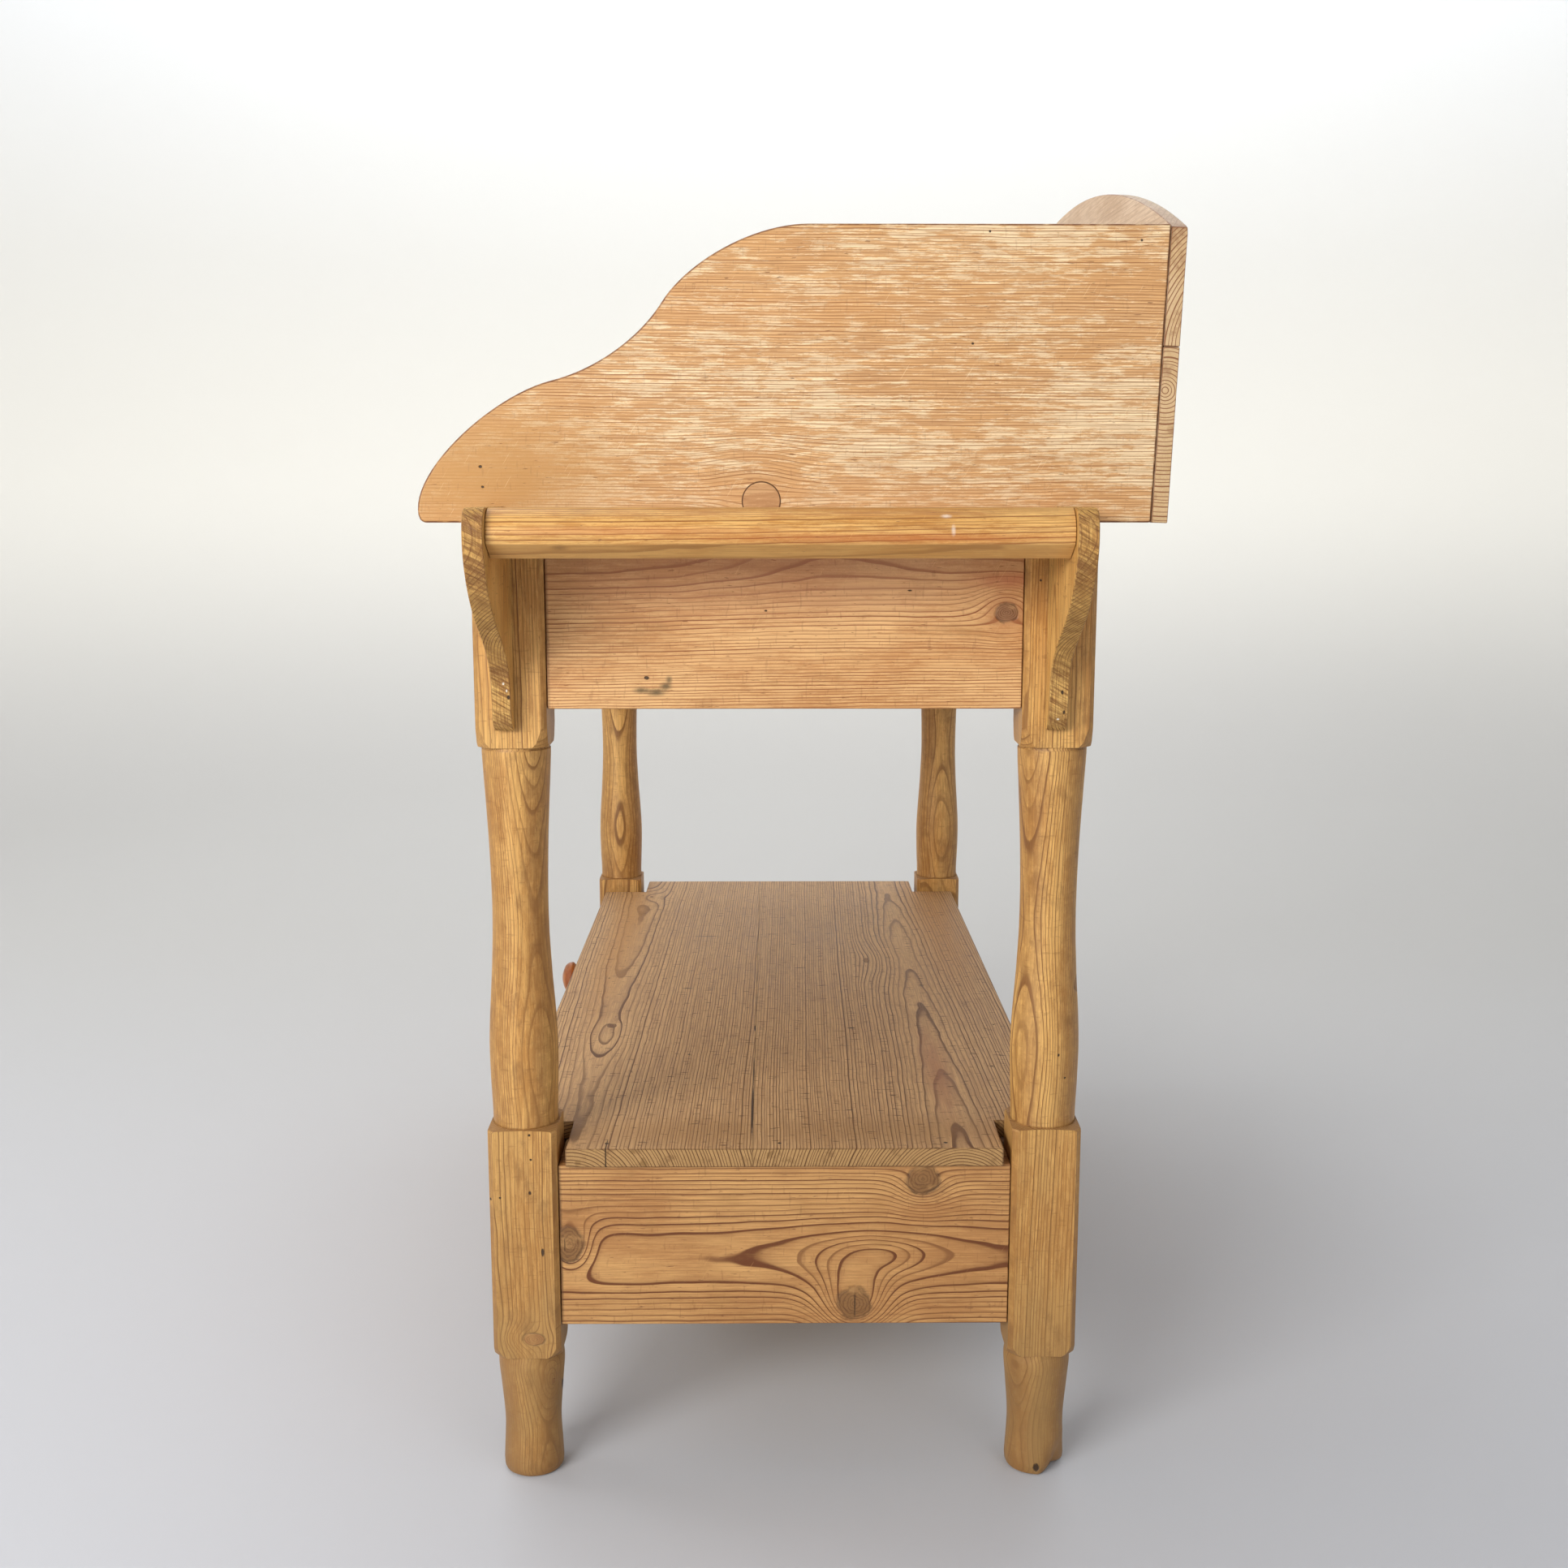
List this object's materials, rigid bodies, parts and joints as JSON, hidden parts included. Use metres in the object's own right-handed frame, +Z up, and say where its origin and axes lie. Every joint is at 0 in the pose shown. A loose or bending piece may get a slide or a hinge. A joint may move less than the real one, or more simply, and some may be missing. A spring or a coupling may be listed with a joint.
{
  "type": "potting bench",
  "caption": "Old pine potting bench in washstand form: turned legs, pot shelf over a long drawer, worktop with an ogee-sided gallery, and a towel rail at each end.",
  "frame": {"origin": "on the floor, under the middle of the bench's bounding box", "axes": "+X along the bench to the right as seen from the drawer side, +Y to the back board, +Z up; the drawer opens towards -Y"},
  "size_m": [1.224, 0.574, 1.0938],
  "materials": {
    "leg_pine": "old honey varnish, satin",
    "frame_pine": "old honey varnish, satin",
    "gallery_pine": "rubbed pale varnish, satin",
    "shelf_pine": "worn wax, matt",
    "bracket_pine": "old honey varnish, worn",
    "towel_rail_pine": "old honey varnish, satin",
    "inside_pine": "unfinished, dry",
    "knob_wood": "red-brown stain and polish"
  },
  "bodies": {
    "bench": {"leg_front_right": "leg_pine", "leg_front_left": "leg_pine", "leg_back_right": "leg_pine", "leg_back_left": "leg_pine", "upper_apron_right": "frame_pine", "lower_apron_right": "frame_pine", "upper_apron_left": "frame_pine", "lower_apron_left": "frame_pine", "upper_apron_front": "frame_pine", "upper_apron_back": "frame_pine", "lower_apron_back": "frame_pine", "drawer_rail": "frame_pine", "glue_block_front_right": "inside_pine", "glue_block_back_right": "inside_pine", "glue_block_right": "inside_pine", "glue_block_front_left": "inside_pine", "glue_block_back_left": "inside_pine", "glue_block_left": "inside_pine", "shelf_board_front": "shelf_pine", "shelf_board_back": "shelf_pine", "worktop_board_front": "gallery_pine", "worktop_board_middle": "gallery_pine", "worktop_board_back": "gallery_pine", "gallery_side_right": "gallery_pine", "gallery_side_left": "gallery_pine", "gallery_back_lower": "gallery_pine", "gallery_back_crest": "gallery_pine", "towel_bracket_front_right": "bracket_pine", "towel_bracket_back_right": "bracket_pine", "towel_rail_right": "towel_rail_pine", "towel_bracket_front_left": "bracket_pine", "towel_bracket_back_left": "bracket_pine", "towel_rail_left": "towel_rail_pine", "drawer_runner_right": "inside_pine", "drawer_guide_right": "inside_pine", "drawer_kicker_right": "inside_pine", "drawer_stop_right": "inside_pine", "drawer_runner_left": "inside_pine", "drawer_guide_left": "inside_pine", "drawer_kicker_left": "inside_pine", "drawer_stop_left": "inside_pine"},
    "drawer": {"drawer_front": "frame_pine", "drawer_side_right": "inside_pine", "drawer_side_left": "inside_pine", "drawer_back": "inside_pine", "drawer_bottom": "inside_pine", "drawer_knob_right": "knob_wood", "drawer_knob_left": "knob_wood"}
  },
  "joints": [
    {"name": "drawer_slide", "type": "slide", "parent": "bench", "child": "drawer", "axis": [0, -1, 0], "range_m": [0, 0.3]}
  ]
}
